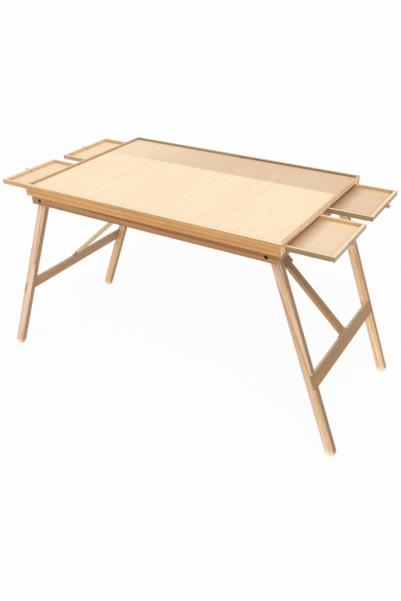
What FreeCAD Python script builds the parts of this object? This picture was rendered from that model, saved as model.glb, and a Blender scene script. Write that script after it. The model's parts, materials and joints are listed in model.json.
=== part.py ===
import FreeCAD, Part
import math
import os

import Sketcher

# A folding wooden jigsaw table. Millimetres, +Z up, +X along the table, floor at z = 0 under its middle.
# It stands open on two splayed leg frames, and its four tray drawers are drawn part of the way out.
SIZES = {
    # tray of rails and panels
    "tray_length": 860, "tray_width": 592, "table_height": 657,
    "rail_height": 34, "rail_thickness": 20, "rim_width": 9, "rim_depth": 7,
    "end_rail_height": 14.5, "end_rail_thickness": 18, "end_rim_width": 7,
    "play_thickness": 5, "bottom_thickness": 3.5, "bottom_rebate": 10, "panel_clearance": 0.3,
    "runner_width": 10, "divider_width": 50.8, "cross_width": 12, "edge_ease": 0.8,
    # tray drawers
    "drawer_length": 330, "drawer_pull": 131, "drawer_front": 10, "drawer_wall": 8,
    "drawer_bottom": 3, "drawer_rebate": 4, "side_clearance": 0.6, "floor_clearance": 0.6, "top_clearance": 1,
    "knob_radius": 8, "knob_length": 13, "knob_neck_radius": 4.2, "knob_stem_radius": 3, "knob_fit": 0.05,
    # apron under the tray
    "apron_height": 28, "apron_thickness": 14, "apron_setback": 8, "apron_inset": 12,
    "leg_stop_gap": 0.4, "apron_screw_from_pivot": 78, "apron_screw_inset": 7, "apron_screw_length": 44,
    "screw_radius": 2, "screw_head_radius": 4, "screw_head_height": 2.5,
    # leg frames and their pivots
    "pivot_inset": 43, "pivot_drop": 14.5, "left_leg_width": 28, "right_leg_width": 28, "leg_thickness": 20,
    "leg_splay": 20, "left_leg_fold": 108.5, "right_leg_fold": 110, "foot_crown": 6.5,
    "frame_gap": 1, "nest_gap": 1.5,
    "left_stretcher_reach": 377, "right_stretcher_reach": 396, "stretcher_width": 47,
    "stretcher_thickness": 8, "stretcher_screw_length": 20, "stretcher_screw_pitch": 24,
    "bolt_radius": 3, "bolt_head_radius": 5, "bolt_head_height": 5, "bore_radius": 6, "bore_depth": 6.5,
    "nut_radius": 5.8, "nut_height": 5, "sleeve_wall": 3, "running_fit": 0.05, "face_gap": 0.3,
    # folding stays
    "anchor_reach": 150, "anchor_length": 26, "anchor_width": 12, "stay_width": 30, "stay_thickness": 11,
    "cheek_width": 12, "stay_gap": 1, "panel_gap": 0.5, "knee_drop": 9, "stay_overlap": 55,
    "stay_pin_radius": 2.5, "stay_pin_head": 2.5, "stay_pin_head_radius": 4.5, "stay_fit": 0.03,
    "bracket_thickness": 2, "bracket_foot": 14,
}

doc = FreeCAD.newDocument("JigsawTable")
sheet = doc.addObject("Spreadsheet::Sheet", "Sizes")
for row, (alias, number) in enumerate(SIZES.items(), start=1):
    sheet.set(f"A{row}", alias)
    sheet.set(f"B{row}", str(number))
    sheet.setAlias(f"B{row}", alias)
doc.recompute()


class Size:
    """A length that keeps both its value and the sheet expression that it comes from."""

    def __init__(self, value, text):
        self.value = value
        self.text = text

    def __add__(self, other):
        other = as_size(other)
        return Size(self.value + other.value, f"({self.text} + {other.text})")

    def __sub__(self, other):
        other = as_size(other)
        return Size(self.value - other.value, f"({self.text} - {other.text})")

    def __mul__(self, other):
        other = as_size(other)
        return Size(self.value * other.value, f"({self.text} * {other.text})")

    def __truediv__(self, other):
        other = as_size(other)
        return Size(self.value / other.value, f"({self.text} / {other.text})")

    def __neg__(self):
        return self * -1


def as_size(number):
    if isinstance(number, Size):
        return number
    return Size(number, repr(number))


def cell(alias):
    return Size(float(sheet.get(alias)), f"Sizes.{alias}")


def bind(thing, name, size):
    thing.setExpression(name, as_size(size).text)


eased = cell("edge_ease")
# Two places closer than this are the same place.
SAME = 1e-4


# Directions for placing pieces: which way a piece's own X, Y and Z point on the table.
EAST, NORTH, UP = FreeCAD.Vector(1, 0, 0), FreeCAD.Vector(0, 1, 0), FreeCAD.Vector(0, 0, 1)
WEST, SOUTH, DOWN = -EAST, -NORTH, -UP
HALF_TURN = FreeCAD.Rotation(UP, 180)
FLAT = (EAST, NORTH, UP)


def place(piece, base, axes=FLAT, half_turn=False):
    """Seats a piece's origin at base with its own axes turned; a half turn moves it to the other side."""
    turn = FreeCAD.Rotation(*axes, "XYZ")
    sign = 1
    if half_turn:
        turn = HALF_TURN.multiply(turn)
        sign = -1
    x, y, z = (as_size(part) for part in base)
    piece.Placement = FreeCAD.Placement(FreeCAD.Vector(x.value * sign, y.value * sign, z.value), turn)
    bind(piece, "Placement.Base.x", x * sign)
    bind(piece, "Placement.Base.y", y * sign)
    bind(piece, "Placement.Base.z", z)
    return piece


nodes = []


def new_body(label, is_node=True):
    body = doc.addObject("PartDesign::Body", label)
    body.Label = label
    if is_node:
        nodes.append(body)
    return body


def group(label, pieces):
    """Several like solids under one name."""
    joined = doc.addObject("Part::Compound", label)
    joined.Label = label
    joined.Links = pieces
    nodes.append(joined)
    return joined


def new_sketch(body, name):
    """An empty sketch on the body's own XY plane."""
    sketch = body.newObject("Sketcher::SketchObject", name)
    plane = next(item for item in body.Origin.OriginFeatures if item.Role == "XY_Plane")
    sketch.AttachmentSupport = (plane, [""])
    sketch.MapMode = "FlatFace"
    return sketch


def hold_point(sketch, line, end, x, y):
    """Holds one end of a line at x, y from the sketch's origin."""
    for kind, axis, size in (("DistanceX", -2, as_size(x)), ("DistanceY", -1, as_size(y))):
        if size.value == 0:
            sketch.addConstraint(Sketcher.Constraint("PointOnObject", line, end, axis))
            continue
        index = sketch.addConstraint(Sketcher.Constraint(kind, -1, 1, line, end, size.value))
        bind(sketch, f"Constraints[{index}]", size)


def outline(body, corners, name="Outline"):
    """A closed outline of straight lines through the corners."""
    sketch = new_sketch(body, name)
    spots = [FreeCAD.Vector(as_size(x).value, as_size(y).value, 0) for x, y in corners]
    for start, end in zip(spots, spots[1:] + spots[:1]):
        sketch.addGeometry(Part.LineSegment(start, end))
    count = len(corners)
    for line in range(count):
        sketch.addConstraint(Sketcher.Constraint("Coincident", line, 2, (line + 1) % count, 1))
    for line, (x, y) in enumerate(corners):
        hold_point(sketch, line, 1, x, y)
    return sketch


def rectangle(width, height):
    return [(0, 0), (width, 0), (width, height), (0, height)]


def circles(body, spots, radius, name="Circles"):
    """Equal circles at the given spots."""
    sketch = new_sketch(body, name)
    for index, (x, y) in enumerate(spots):
        centre = FreeCAD.Vector(as_size(x).value, as_size(y).value, 0)
        sketch.addGeometry(Part.Circle(centre, UP, as_size(radius).value))
        hold_point(sketch, index, 3, x, y)
        held = sketch.addConstraint(Sketcher.Constraint("Radius", index, as_size(radius).value))
        bind(sketch, f"Constraints[{held}]", radius)
    return sketch


def slot_outline(body, reach, half_width):
    """Two straight edges joined by a round end about the origin and another at the reach."""
    far, half = as_size(reach).value, as_size(half_width).value
    sketch = new_sketch(body, "Outline")
    quarter = math.pi / 2
    for centre, start, stop in (
        (FreeCAD.Vector(0, 0, 0), quarter, quarter * 3),
        (FreeCAD.Vector(far, 0, 0), -quarter, quarter),
    ):
        sketch.addGeometry(Part.ArcOfCircle(Part.Circle(centre, UP, half), start, stop))
    sketch.addGeometry(Part.LineSegment(FreeCAD.Vector(0, -half, 0), FreeCAD.Vector(far, -half, 0)))
    sketch.addGeometry(Part.LineSegment(FreeCAD.Vector(far, half, 0), FreeCAD.Vector(0, half, 0)))
    for first, end, second, start in ((0, 2, 2, 1), (2, 2, 1, 1), (1, 2, 3, 1), (3, 2, 0, 1)):
        sketch.addConstraint(Sketcher.Constraint("Tangent", first, end, second, start))
    sketch.addConstraint(Sketcher.Constraint("Coincident", 0, 3, -1, 1))
    hold_point(sketch, 1, 3, reach, 0)
    held = sketch.addConstraint(Sketcher.Constraint("Radius", 0, half))
    bind(sketch, f"Constraints[{held}]", half_width)
    return sketch


def leg_outline(body, foot_centre, half_width, foot_radius):
    """A leg's edge view: a half round about the pivot, straight edges, and a flatter arc for the foot."""
    reach, half, foot = (as_size(size).value for size in (foot_centre, half_width, foot_radius))
    corner = reach + math.sqrt(foot ** 2 - half ** 2)
    sweep = math.asin(half / foot)
    sketch = new_sketch(body, "Outline")
    pivot = Part.Circle(FreeCAD.Vector(0, 0, 0), UP, half)
    sketch.addGeometry(Part.ArcOfCircle(pivot, math.pi / 2, 3 * math.pi / 2))
    sketch.addGeometry(Part.LineSegment(FreeCAD.Vector(0, -half, 0), FreeCAD.Vector(corner, -half, 0)))
    sole = Part.Circle(FreeCAD.Vector(reach, 0, 0), UP, foot)
    sketch.addGeometry(Part.ArcOfCircle(sole, -sweep, sweep))
    sketch.addGeometry(Part.LineSegment(FreeCAD.Vector(corner, half, 0), FreeCAD.Vector(0, half, 0)))
    sketch.addConstraint(Sketcher.Constraint("Tangent", 0, 2, 1, 1))
    sketch.addConstraint(Sketcher.Constraint("Coincident", 1, 2, 2, 1))
    sketch.addConstraint(Sketcher.Constraint("Coincident", 2, 2, 3, 1))
    sketch.addConstraint(Sketcher.Constraint("Tangent", 3, 2, 0, 1))
    sketch.addConstraint(Sketcher.Constraint("Horizontal", 1))
    sketch.addConstraint(Sketcher.Constraint("Horizontal", 3))
    sketch.addConstraint(Sketcher.Constraint("Coincident", 0, 3, -1, 1))
    hold_point(sketch, 2, 3, foot_centre, 0)
    for arc, size in ((0, half_width), (2, foot_radius)):
        held = sketch.addConstraint(Sketcher.Constraint("Radius", arc, as_size(size).value))
        bind(sketch, f"Constraints[{held}]", size)
    return sketch


def pad(body, sketch, length):
    feature = body.newObject("PartDesign::Pad", "Pad")
    feature.Profile = sketch
    feature.Length = as_size(length).value
    bind(feature, "Length", length)
    return feature


def cut(body, sketch, depth):
    """A pocket from the XY plane upwards, which has to take wood away."""
    doc.recompute()
    before = body.Shape.Volume
    feature = body.newObject("PartDesign::Pocket", "Cut")
    feature.Profile = sketch
    feature.Length = as_size(depth).value
    bind(feature, "Length", depth)
    feature.Reversed = True
    doc.recompute()
    if body.Shape.Volume >= before:
        raise ValueError(f"{body.Label}: a cut took nothing away")
    return feature


def bore(body, spots, radius, depth):
    """Equal round holes."""
    return cut(body, circles(body, spots, radius), depth)


def sides_touched(edge, box):
    """How many of the six sides of a box an edge lies on."""
    reach = edge.BoundBox
    sides = 0
    for low, high, box_low, box_high in (
        (reach.XMin, reach.XMax, box.XMin, box.XMax),
        (reach.YMin, reach.YMax, box.YMin, box.YMax),
        (reach.ZMin, reach.ZMax, box.ZMin, box.ZMax),
    ):
        sides += max(abs(low - box_low), abs(high - box_low)) < SAME
        sides += max(abs(low - box_high), abs(high - box_high)) < SAME
    return sides


def ease(body):
    """Breaks the piece's outer straight edges, those on two sides of its box, with a small chamfer."""
    doc.recompute()
    square = body.Tip
    box = square.Shape.BoundBox
    edges = enumerate(square.Shape.Edges, start=1)
    outer = [f"Edge{index}" for index, edge in edges if sides_touched(edge, box) > 1]
    feature = body.newObject("PartDesign::Chamfer", "Eased")
    feature.Base = (square, outer)
    feature.Size = eased.value
    bind(feature, "Size", eased)
    body.Tip = feature
    return feature


def board(label, corners, length, is_node=True, soft_edges=False):
    """A board: its outline padded to its length, with its outer edges eased where they show."""
    body = new_body(label, is_node)
    pad(body, outline(body, corners), length)
    if soft_edges:
        ease(body)
    return body


def turned(label, profile, is_node=True):
    """A piece turned about its own Y axis from a half profile of radius and height."""
    body = new_body(label, is_node)
    sketch = outline(body, profile)
    feature = body.newObject("PartDesign::Revolution", "Turned")
    feature.Profile = sketch
    feature.ReferenceAxis = (sketch, ["V_Axis"])
    feature.Angle = 360
    return body


def hollow_turned(label, inner, outer, length, is_node=True):
    """A round sleeve or washer about its own Y axis."""
    return turned(label, [(inner, 0), (outer, 0), (outer, length), (inner, length)], is_node)


# Levels and faces that several pieces share.
half_length = cell("tray_length") / 2
half_width = cell("tray_width") / 2
rail_bottom = cell("table_height") - cell("rail_height")
floor_top = rail_bottom + cell("bottom_thickness")
play_top = cell("table_height") - cell("rim_depth")
play_under = play_top - cell("play_thickness")
mouth_top = cell("table_height") - cell("end_rail_height")
rail_inside = half_width - cell("rail_thickness")
end_inside = half_length - cell("end_rail_thickness")
runner_face = rail_inside - cell("runner_width")

# A piece that runs along the table with its profile's X pointing in from the back edge.
ALONG_BACK = (SOUTH, UP, WEST)
# A piece that runs across the table with its profile's X pointing in from the right end.
ACROSS_RIGHT = (WEST, UP, NORTH)
# A board that stands on edge, its face outwards at the back.
FACING_BACK = (EAST, UP, SOUTH)
# A turned piece whose own Y axis points towards the table's middle from the back edge.
INTO_BACK = (EAST, SOUTH, DOWN)

# Rails: all four carry the play panel on a ledge inside the rim, the long ones the bottom panel in a rebate.
long_rail = [
    (0, 0),
    (cell("rail_thickness") - cell("bottom_rebate"), 0),
    (cell("rail_thickness") - cell("bottom_rebate"), cell("bottom_thickness")),
    (cell("rail_thickness"), cell("bottom_thickness")),
    (cell("rail_thickness"), play_under - rail_bottom),
    (cell("rim_width"), play_under - rail_bottom),
    (cell("rim_width"), cell("rail_height")),
    (0, cell("rail_height")),
]
end_rail = [
    (0, 0),
    (cell("end_rail_thickness"), 0),
    (cell("end_rail_thickness"), play_under - mouth_top),
    (cell("end_rim_width"), play_under - mouth_top),
    (cell("end_rim_width"), cell("end_rail_height")),
    (0, cell("end_rail_height")),
]
for name, turn in (("back_rail", False), ("front_rail", True)):
    rail = board(name, long_rail, cell("tray_length"), soft_edges=True)
    place(rail, (half_length, half_width, rail_bottom), ALONG_BACK, turn)
for name, turn in (("right_end_rail", False), ("left_end_rail", True)):
    rail = board(name, end_rail, rail_inside * 2, soft_edges=True)
    place(rail, (half_length, -rail_inside, mouth_top), ACROSS_RIGHT, turn)

# Panels: the birch play surface inside the rim, and the hardboard bottom let into the long rails.
play_half_length = half_length - cell("end_rim_width") - cell("panel_clearance")
play_half_width = half_width - cell("rim_width") - cell("panel_clearance")
play = board("play_panel", rectangle(play_half_length * 2, play_half_width * 2), cell("play_thickness"))
place(play, (-play_half_length, -play_half_width, play_under))
bottom_half_width = rail_inside + cell("bottom_rebate") - cell("panel_clearance")
bottom_outline = rectangle(cell("tray_length"), bottom_half_width * 2)
bottom = board("bottom_panel", bottom_outline, cell("bottom_thickness"))
place(bottom, (-half_length, -bottom_half_width, rail_bottom))

# Drawer guides: runners beside the long rails, a divider down the middle and one across it.
runner = rectangle(cell("runner_width"), mouth_top - floor_top)
for name, turn in (("back_runner", False), ("front_runner", True)):
    strip = board(name, runner, cell("tray_length"))
    place(strip, (half_length, rail_inside, floor_top), ALONG_BACK, turn)
divider_low, divider_high = mouth_top - floor_top, play_under - floor_top
divider_side = [
    (0, 0),
    (cell("tray_length"), 0),
    (cell("tray_length"), divider_low),
    (half_length + end_inside, divider_low),
    (half_length + end_inside, divider_high),
    (cell("end_rail_thickness"), divider_high),
    (cell("end_rail_thickness"), divider_low),
    (0, divider_low),
]
divider = board("centre_divider", divider_side, cell("divider_width"))
place(divider, (-half_length, cell("divider_width") / 2, floor_top), FACING_BACK)
cross = rectangle(cell("cross_width"), divider_high)
halves = []
for name, turn in (("cross_divider_back", False), ("cross_divider_front", True)):
    half = board(name, cross, runner_face - cell("divider_width") / 2, is_node=False)
    spot = (cell("cross_width") / 2, cell("divider_width") / 2, floor_top)
    halves.append(place(half, spot, ACROSS_RIGHT, turn))
group("cross_dividers", halves)

# Drawers: four shallow trays with a bottom let into their walls and a turned knob.
drawer_out = half_length + cell("drawer_pull")
drawer_back = drawer_out - cell("drawer_length")
drawer_low = floor_top + cell("floor_clearance")
drawer_height = mouth_top - cell("top_clearance") - drawer_low
lane_inner = cell("divider_width") / 2 + cell("side_clearance")
lane_outer = runner_face - cell("side_clearance")
drawer_width = lane_outer - lane_inner
walls_start = drawer_back + cell("drawer_wall")
walls_end = drawer_out - cell("drawer_front")


def drawer_wall(thickness):
    """A wall's section: its foot is rebated on the inside for the bottom."""
    foot = thickness - cell("drawer_rebate")
    return [
        (0, 0),
        (foot, 0),
        (foot, cell("drawer_bottom")),
        (thickness, cell("drawer_bottom")),
        (thickness, drawer_height),
        (0, drawer_height),
    ]


knob_profile = [
    (0, 0),
    (cell("knob_stem_radius"), 0),
    (cell("knob_stem_radius"), cell("drawer_front")),
    (cell("knob_neck_radius") + 1.2, cell("drawer_front")),
    (cell("knob_neck_radius"), cell("drawer_front") + cell("knob_length") * 0.3),
    (cell("knob_radius"), cell("drawer_front") + cell("knob_length") * 0.55),
    (cell("knob_radius"), cell("drawer_front") + cell("knob_length") * 0.75),
    (cell("knob_radius") * 0.7, cell("drawer_front") + cell("knob_length")),
    (0, cell("drawer_front") + cell("knob_length")),
]


def drawer(name, lane_start, half_turn):
    """One drawer whose lane starts at lane_start on the right of the table, or turned to the left."""
    lane_end = lane_start + drawer_width
    wall = drawer_wall(cell("drawer_wall"))
    front = board(f"{name}_front", drawer_wall(cell("drawer_front")), drawer_width, soft_edges=True)
    place(front, (drawer_out, lane_start, drawer_low), ACROSS_RIGHT, half_turn)
    back = board(f"{name}_back", wall, drawer_width, soft_edges=True)
    place(back, (drawer_back, lane_end, drawer_low), FACING_BACK, half_turn)
    sides = []
    for which, base, axes in (
        ("far", (walls_end, lane_end, drawer_low), ALONG_BACK),
        ("near", (walls_start, lane_start, drawer_low), (NORTH, UP, EAST)),
    ):
        side = board(f"{name}_{which}_side", wall, walls_end - walls_start, is_node=False, soft_edges=True)
        sides.append(place(side, base, axes, half_turn))
    group(f"{name}_sides", sides)
    inset = cell("drawer_wall") - cell("drawer_rebate") + cell("panel_clearance")
    front_inset = cell("drawer_front") - cell("drawer_rebate") + cell("panel_clearance")
    length = cell("drawer_length") - inset - front_inset
    bottom = board(f"{name}_bottom", rectangle(length, drawer_width - inset * 2), cell("drawer_bottom"))
    place(bottom, (drawer_back + inset, lane_start + inset, drawer_low), FLAT, half_turn)
    return front, lane_start + drawer_width / 2


def knob_hole(front):
    """A hole through the drawer front for the knob's stem, bored across the front's length."""
    cutter = front.newObject("Sketcher::SketchObject", "StemHole")
    plane = next(item for item in front.Origin.OriginFeatures if item.Role == "YZ_Plane")
    cutter.AttachmentSupport = (plane, [""])
    cutter.MapMode = "FlatFace"
    middle = drawer_width / 2
    radius = cell("knob_stem_radius") + cell("knob_fit")
    centre = FreeCAD.Vector((drawer_height / 2).value, middle.value, 0)
    cutter.addGeometry(Part.Circle(centre, UP, radius.value))
    hold_point(cutter, 0, 3, drawer_height / 2, middle)
    held = cutter.addConstraint(Sketcher.Constraint("Radius", 0, radius.value))
    bind(cutter, f"Constraints[{held}]", radius)
    doc.recompute()
    before = front.Shape.Volume
    hole = front.newObject("PartDesign::Pocket", "StemBore")
    hole.Profile = cutter
    hole.Type = 1
    hole.Midplane = True
    doc.recompute()
    if front.Shape.Volume >= before:
        raise ValueError(f"{front.Label}: the stem hole cut nothing")


# The two right-hand lanes, and the same two turned to the left: front and back change places with the turn.
lanes = (
    ("right_back_drawer", lane_inner, False),
    ("right_front_drawer", -lane_outer, False),
    ("left_front_drawer", lane_inner, True),
    ("left_back_drawer", -lane_outer, True),
)
for name, lane_start, half_turn in lanes:
    front, middle = drawer(name, lane_start, half_turn)
    knob_hole(front)
    knob = turned(f"{name}_knob", knob_profile)
    knob_base = (drawer_out - cell("drawer_front"), middle, drawer_low + drawer_height / 2)
    place(knob, knob_base, (SOUTH, EAST, UP), half_turn)

# Apron: two long boards bored for the pivot bolts, and two short ones between them.
apron_face = half_width - cell("apron_setback")
apron_inside = apron_face - cell("apron_thickness")
apron_end = half_length - cell("apron_inset")
apron_bottom = rail_bottom - cell("apron_height")
pivot_x = half_length - cell("pivot_inset")
pivot_z = rail_bottom - cell("pivot_drop")
pivot_height = pivot_z - apron_bottom
bolt_spots = [(apron_end - pivot_x, pivot_height), (apron_end + pivot_x, pivot_height)]
apron_outline = rectangle(apron_end * 2, cell("apron_height"))
for name, turn in (("back_apron", False), ("front_apron", True)):
    apron = board(name, apron_outline, cell("apron_thickness"), soft_edges=True)
    bore(apron, bolt_spots, cell("bolt_radius") + cell("face_gap"), cell("apron_thickness"))
    bore(apron, bolt_spots, cell("bore_radius"), cell("bore_depth"))
    place(apron, (-apron_end, apron_face, apron_bottom), FACING_BACK, turn)

# The short boards stop the legs: their inner faces stand just clear of the open legs' outer edges.
splay = math.radians(SIZES["leg_splay"])
cos_splay = Size(math.cos(splay), "cos(Sizes.leg_splay * 1 deg)")
tan_splay = Size(math.tan(splay), "tan(Sizes.leg_splay * 1 deg)")
leg_half = {side: cell(f"{side}_leg_width") / 2 for side in ("left", "right")}
for side, turn in (("right", False), ("left", True)):
    leg_edge = pivot_x + pivot_height * tan_splay + leg_half[side] / cos_splay
    stop_thickness = apron_end - leg_edge - cell("leg_stop_gap")
    stop_section = rectangle(stop_thickness, cell("apron_height"))
    apron = board(f"{side}_apron", stop_section, apron_inside * 2, soft_edges=True)
    place(apron, (apron_end, -apron_inside, apron_bottom), ACROSS_RIGHT, turn)


def screw(name, length):
    """A countersunk wood screw about its own Y axis, its head's face at the origin."""
    profile = [
        (0, 0),
        (cell("screw_head_radius"), 0),
        (cell("screw_radius"), cell("screw_head_height")),
        (cell("screw_radius"), length - cell("screw_radius")),
        (0, length),
    ]
    return turned(name, profile, is_node=False)


# Screws up through the apron's lower edge into the long rails.
POINT_UP = (EAST, UP, SOUTH)
screws = []
for turn in (False, True):
    for step in (-1, 0, 1):
        piece = screw("apron_screw", cell("apron_screw_length"))
        along = (pivot_x - cell("apron_screw_from_pivot")) * step
        spot = (along, apron_face - cell("apron_screw_inset"), apron_bottom)
        screws.append(place(piece, spot, POINT_UP, turn))
group("apron_screws", screws)

# Leg frames: the left one is the wider, and the right one folds up inside it.
outer_face = {"left": apron_inside - cell("frame_gap")}
outer_face["right"] = outer_face["left"] - cell("leg_thickness") - cell("nest_gap")
LEG_AXIS = FreeCAD.Vector(math.sin(splay), 0, -math.cos(splay))
LEG_INWARD = FreeCAD.Vector(-math.cos(splay), 0, -math.sin(splay))
LEG_AXES = (LEG_AXIS, LEG_INWARD, NORTH)


def leg_spot(along, inward, across):
    """A place on a right-hand leg frame: along the leg from its pivot, inward from it, across the table."""
    shift = LEG_AXIS * as_size(along).value + LEG_INWARD * as_size(inward).value
    return (pivot_x + shift.x, across, pivot_z + shift.z)


# Stretchers are housed in the legs' outer edges, flush with them.
bar_start = {side: cell(f"{side}_stretcher_reach") - cell("stretcher_width") / 2 for side in leg_half}
bar_inside = {side: cell("stretcher_thickness") - leg_half[side] for side in leg_half}


def leg_frame(side, turn):
    """Two legs, a stretcher housed in their outer edges, and its screws."""
    face = outer_face[side]
    half = leg_half[side]
    crown = cell("foot_crown")
    thickness = cell("leg_thickness")
    # The foot's arc rises by its crown over the leg's width, and its lowest point is on the floor.
    foot_radius = (half * half + crown * crown) / (crown * 2)
    foot_reach = (pivot_z - foot_radius) / cos_splay
    start, inside = bar_start[side], bar_inside[side]
    end = start + cell("stretcher_width")
    housing = [(start, -half), (end, -half), (end, inside), (start, inside)]
    lower, upper = ("back", "front") if turn else ("front", "back")
    for where, across in ((lower, -face), (upper, face - thickness)):
        leg = new_body(f"{side}_{where}_leg")
        pad(leg, leg_outline(leg, foot_reach, half, foot_radius), thickness)
        ease(leg)
        bore(leg, [(0, 0)], cell("bolt_radius") + cell("running_fit"), thickness)
        cut(leg, outline(leg, housing, "Housing"), thickness)
        place(leg, (pivot_x, across, pivot_z), LEG_AXES, turn)
    bar_section = rectangle(cell("stretcher_width"), cell("stretcher_thickness"))
    bar = board(f"{side}_stretcher", bar_section, face * 2, soft_edges=True)
    place(bar, leg_spot(start, -half, -face), LEG_AXES, turn)
    screws = []
    for across in (-face + thickness / 2, face - thickness / 2):
        for step in (-0.5, 0.5):
            piece = screw(f"{side}_stretcher_screw", cell("stretcher_screw_length"))
            along = cell(f"{side}_stretcher_reach") + cell("stretcher_screw_pitch") * step
            spot = leg_spot(along, -half, across)
            screws.append(place(piece, spot, LEG_AXES, turn))
    group(f"{side}_stretcher_screws", screws)


# Foot hinge: two angle plates on the stretcher's upper edge with a pin through them and the lower slat.
foot_pin_along = {side: bar_start[side] - cell("panel_gap") - cell("stay_thickness") / 2 for side in leg_half}
foot_pin_inward = {side: bar_inside[side] - cell("stretcher_thickness") / 2 for side in leg_half}


def foot_hinge(side, turn):
    """Two angles and their pin, between the stretcher's inner and outer faces."""
    plate = cell("bracket_thickness")
    ear = cell("stay_width") / 2 + cell("panel_gap")
    rise = cell("stay_thickness") + cell("panel_gap")
    section = [
        (0, 0),
        (cell("bracket_foot"), 0),
        (cell("bracket_foot"), plate),
        (plate, plate),
        (plate, rise),
        (0, rise),
    ]
    pieces = []
    for sign, axes, inward in (
        (1, (NORTH, -LEG_AXIS, -LEG_INWARD), bar_inside[side]),
        (-1, (SOUTH, -LEG_AXIS, LEG_INWARD), -leg_half[side]),
    ):
        angle = board(f"{side}_foot_angle", section, cell("stretcher_thickness"), is_node=False)
        pieces.append(place(angle, leg_spot(bar_start[side], inward, ear * sign), axes, turn))
    pin = turned(f"{side}_foot_pin", rectangle(cell("stay_pin_radius"), ear * 2), is_node=False)
    spot = leg_spot(foot_pin_along[side], foot_pin_inward[side], -ear)
    pieces.append(place(pin, spot, (LEG_INWARD, NORTH, LEG_AXIS), turn))
    group(f"{side}_foot_hinge", pieces)


# Stay anchors: under the bottom panel, a block outside each upper slat with a headed pin through both.
anchor_x = cell("anchor_reach")
anchor_z = rail_bottom - cell("panel_gap") - cell("stay_thickness") / 2
anchor_drop = cell("stay_thickness") + cell("panel_gap") + cell("stay_gap") * 2
cheek_face = cell("stay_width") / 2 + cell("stay_gap")
cheek_outer = cheek_face + cell("cheek_width")
SLAT_SIDES = ((1, INTO_BACK), (-1, FLAT))


def headed_pin(label, shank):
    """A round pin about its own Y axis, its head's face at the origin."""
    head = cell("stay_pin_head")
    profile = [
        (0, 0),
        (cell("stay_pin_head_radius"), 0),
        (cell("stay_pin_head_radius"), head),
        (cell("stay_pin_radius"), head),
        (cell("stay_pin_radius"), head + shank),
        (0, head + shank),
    ]
    return turned(label, profile, is_node=False)


def stay_anchor(side, turn):
    """The two blocks and their pins."""
    width = cell("anchor_width")
    block_inside = cheek_outer + cell("stay_gap")
    block_outside = block_inside + width
    hole = [(cell("anchor_length") / 2, anchor_z - rail_bottom + anchor_drop)]
    blocks, pins = [], []
    block_outline = rectangle(cell("anchor_length"), anchor_drop)
    for sign, inward in SLAT_SIDES:
        block = board(f"{side}_anchor_block", block_outline, width, is_node=False)
        bore(block, hole, cell("stay_pin_radius") + cell("stay_fit"), width)
        back_face = block_outside if sign > 0 else -block_inside
        corner = (anchor_x - cell("anchor_length") / 2, back_face, rail_bottom - anchor_drop)
        blocks.append(place(block, corner, FACING_BACK, turn))
        pin = headed_pin(f"{side}_anchor_pin_half", block_outside - cheek_face - cell("face_gap"))
        spot = (anchor_x, (block_outside + cell("stay_pin_head")) * sign, anchor_z)
        pins.append(place(pin, spot, inward, turn))
    group(f"{side}_stay_anchor", blocks)
    group(f"{side}_anchor_pin", pins)


# Stay slats: the lower one from the foot pin to the knee, and beside it a pair from the anchor past the knee.
def slat(label, reach, width, tail=0, is_node=True):
    """A slat with round ends, bored for pins at its start and at its reach, and a tail beyond that."""
    body = new_body(label, is_node)
    pad(body, slot_outline(body, as_size(reach) + tail, cell("stay_thickness") / 2), width)
    bore(body, [(0, 0), (reach, 0)], cell("stay_pin_radius") + cell("stay_fit"), width)
    return body


def folded_foot_pin(side):
    """Where the foot pin of a right-hand frame goes, in x and z, when the frame is folded up."""
    lean = splay - math.radians(SIZES[f"{side}_leg_fold"])
    along, inward = foot_pin_along[side].value, foot_pin_inward[side].value
    x = pivot_x.value + along * math.sin(lean) - inward * math.cos(lean)
    z = pivot_z.value - along * math.cos(lean) - inward * math.sin(lean)
    return x, z


def lower_slat_length(side, whole):
    """The length that brings both knees together again when folded, the stay lying doubled, nearly flat."""
    x, z = folded_foot_pin(side)
    along = anchor_x.value - x + whole
    rise = anchor_z.value - SIZES["knee_drop"] - z
    return along / 2 + rise ** 2 / (2 * along)


def stay(side, turn):
    """The lower slat, the two upper slats beside its end, and the knee screws that the upper pair carries."""
    x, _, z = leg_spot(foot_pin_along[side], foot_pin_inward[side], 0)
    run = x.value - anchor_x.value
    rise = anchor_z.value - z.value
    slope = math.atan2(rise, run)
    lower_length = lower_slat_length(side, math.hypot(run, rise))
    upper_length = math.hypot(run, rise) - lower_length
    print(f"{side} stay: slope {math.degrees(slope):.4f}, slats {lower_length:.3f} and {upper_length:.3f}")
    upward = FreeCAD.Vector(-math.cos(slope), 0, math.sin(slope))
    over = FreeCAD.Vector(math.sin(slope), 0, math.cos(slope))
    knee = FreeCAD.Vector(x.value, 0, z.value) + upward * lower_length
    lower = slat(f"{side}_lower_slat", lower_length, cell("stay_width"))
    place(lower, (x, -cell("stay_width") / 2, z), (upward, over, NORTH), turn)
    pair, screws = [], []
    for sign, inward in SLAT_SIDES:
        tail = cell("stay_overlap")
        cheek = slat(f"{side}_upper_slat", upper_length, cell("cheek_width"), tail, is_node=False)
        across = cheek_face if sign > 0 else -cheek_outer
        pair.append(place(cheek, (anchor_x, across, anchor_z), (-upward, -over, NORTH), turn))
        screw_head = cheek_outer + cell("face_gap") + cell("stay_pin_head")
        knee_screw = headed_pin(f"{side}_knee_screw", cell("cheek_width") + cell("face_gap"))
        screws.append(place(knee_screw, (as_size(knee.x), screw_head * sign, as_size(knee.z)), inward, turn))
    group(f"{side}_upper_slats", pair)
    group(f"{side}_knee_screws", screws)


for side, turn in (("right", False), ("left", True)):
    leg_frame(side, turn)
    foot_hinge(side, turn)
    stay_anchor(side, turn)
    stay(side, turn)

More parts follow.
